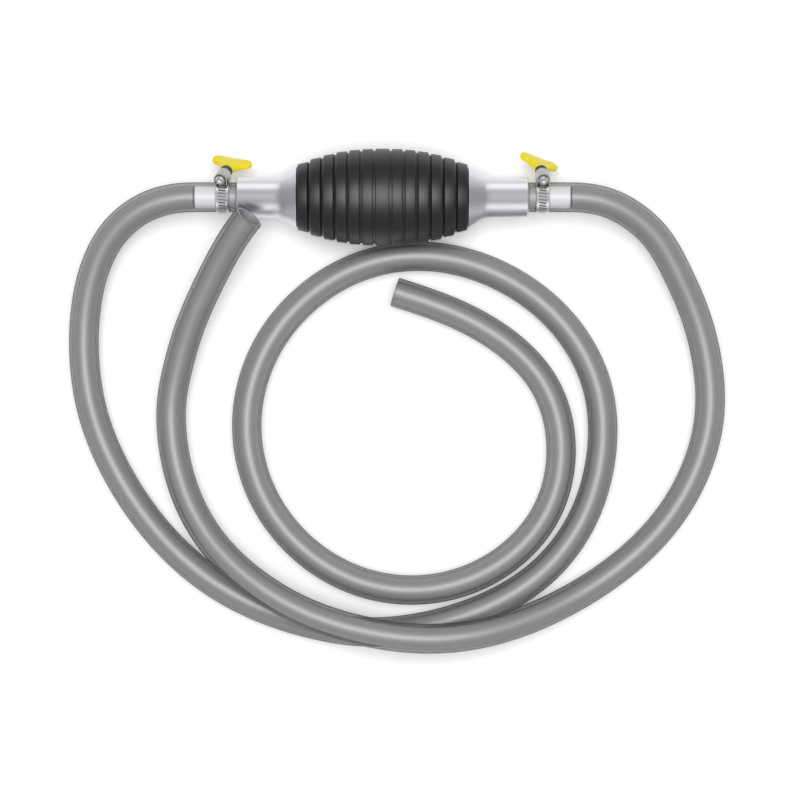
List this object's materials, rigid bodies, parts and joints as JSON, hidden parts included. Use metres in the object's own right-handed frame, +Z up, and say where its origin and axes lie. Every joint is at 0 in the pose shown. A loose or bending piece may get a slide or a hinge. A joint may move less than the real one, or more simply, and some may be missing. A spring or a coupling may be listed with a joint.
{
  "type": "hand siphon pump with hoses",
  "caption": "Ribbed rubber squeeze bulb with one-way valves in two metal end fittings, and two clear hoses held by worm-drive clamps with wing keys.",
  "frame": {"origin": "on the surface the pump lies on, straight under the middle of the bulb", "axes": "+X along the pump from inlet to outlet, the way the liquid runs; +Y across the pump, away from the laid-out hoses; +Z up"},
  "size_m": [0.2655, 0.2025, 0.0388],
  "materials": {
    "rubber": "satin moulded black rubber",
    "fitting": "satin turned aluminium",
    "spigot": "smooth off-white plastic",
    "seal": "matt black nitrile",
    "valve_plastic": "moulded grey plastic",
    "valve_steel": "polished stainless steel",
    "clear_hose": "clear smoke-grey soft PVC",
    "clamp_steel": "bright stamped steel",
    "screw_steel": "bright threaded steel with a darker head",
    "key_plastic": "moulded yellow plastic"
  },
  "bodies": {
    "pump": {"squeeze_bulb": "rubber", "inlet_fitting": "fitting", "inlet_spigot": "spigot", "inlet_o_ring": "seal", "inlet_valve_body": "valve_plastic", "inlet_valve_seat": "seal", "inlet_valve_spring": "valve_steel", "inlet_valve_stop": "valve_plastic", "inlet_hose_cuff": "clear_hose", "inlet_clamp_band": "clamp_steel", "inlet_clamp_housing": "clamp_steel", "outlet_fitting": "fitting", "outlet_spigot": "spigot", "outlet_o_ring": "seal", "outlet_valve_body": "valve_plastic", "outlet_valve_seat": "seal", "outlet_valve_spring": "valve_steel", "outlet_valve_stop": "valve_plastic", "outlet_hose_cuff": "clear_hose", "outlet_clamp_band": "clamp_steel", "outlet_clamp_housing": "clamp_steel", "suction_hose": "clear_hose", "discharge_hose": "clear_hose"},
    "bulb_wall": {"bulb_press_wall": "rubber"},
    "inlet_ball": {"inlet_valve_ball": "valve_steel"},
    "inlet_screw": {"inlet_clamp_screw": "screw_steel", "inlet_clamp_key": "key_plastic"},
    "outlet_ball": {"outlet_valve_ball": "valve_steel"},
    "outlet_screw": {"outlet_clamp_screw": "screw_steel", "outlet_clamp_key": "key_plastic"}
  },
  "joints": [
    {"name": "bulb_squeeze", "type": "slide", "parent": "pump", "child": "bulb_wall", "axis": [0, 0, -1], "range_m": [0, 0.01], "stiffness_N_per_m": 2500},
    {"name": "inlet_valve_lift", "type": "slide", "parent": "pump", "child": "inlet_ball", "axis": [1, 0, 0], "range_m": [0, 0.0025], "stiffness_N_per_m": 40, "springref_m": -0.001, "deforming": ["inlet_valve_spring"]},
    {"name": "inlet_screw_turn", "type": "hinge", "parent": "pump", "child": "inlet_screw", "pos_m": [-0.064, 0.00763, 0.02398], "axis": [-0.2164, -0.5028, 0.8368], "range_deg": [-2880, 90]},
    {"name": "outlet_valve_lift", "type": "slide", "parent": "pump", "child": "outlet_ball", "axis": [1, 0, 0], "range_m": [0, 0.0025], "stiffness_N_per_m": 40, "springref_m": -0.001, "deforming": ["outlet_valve_spring"]},
    {"name": "outlet_screw_turn", "type": "hinge", "parent": "pump", "child": "outlet_screw", "pos_m": [0.064, 0.00763, 0.02398], "axis": [0.0523, -0.5143, 0.856], "range_deg": [-2880, 90]}
  ]
}
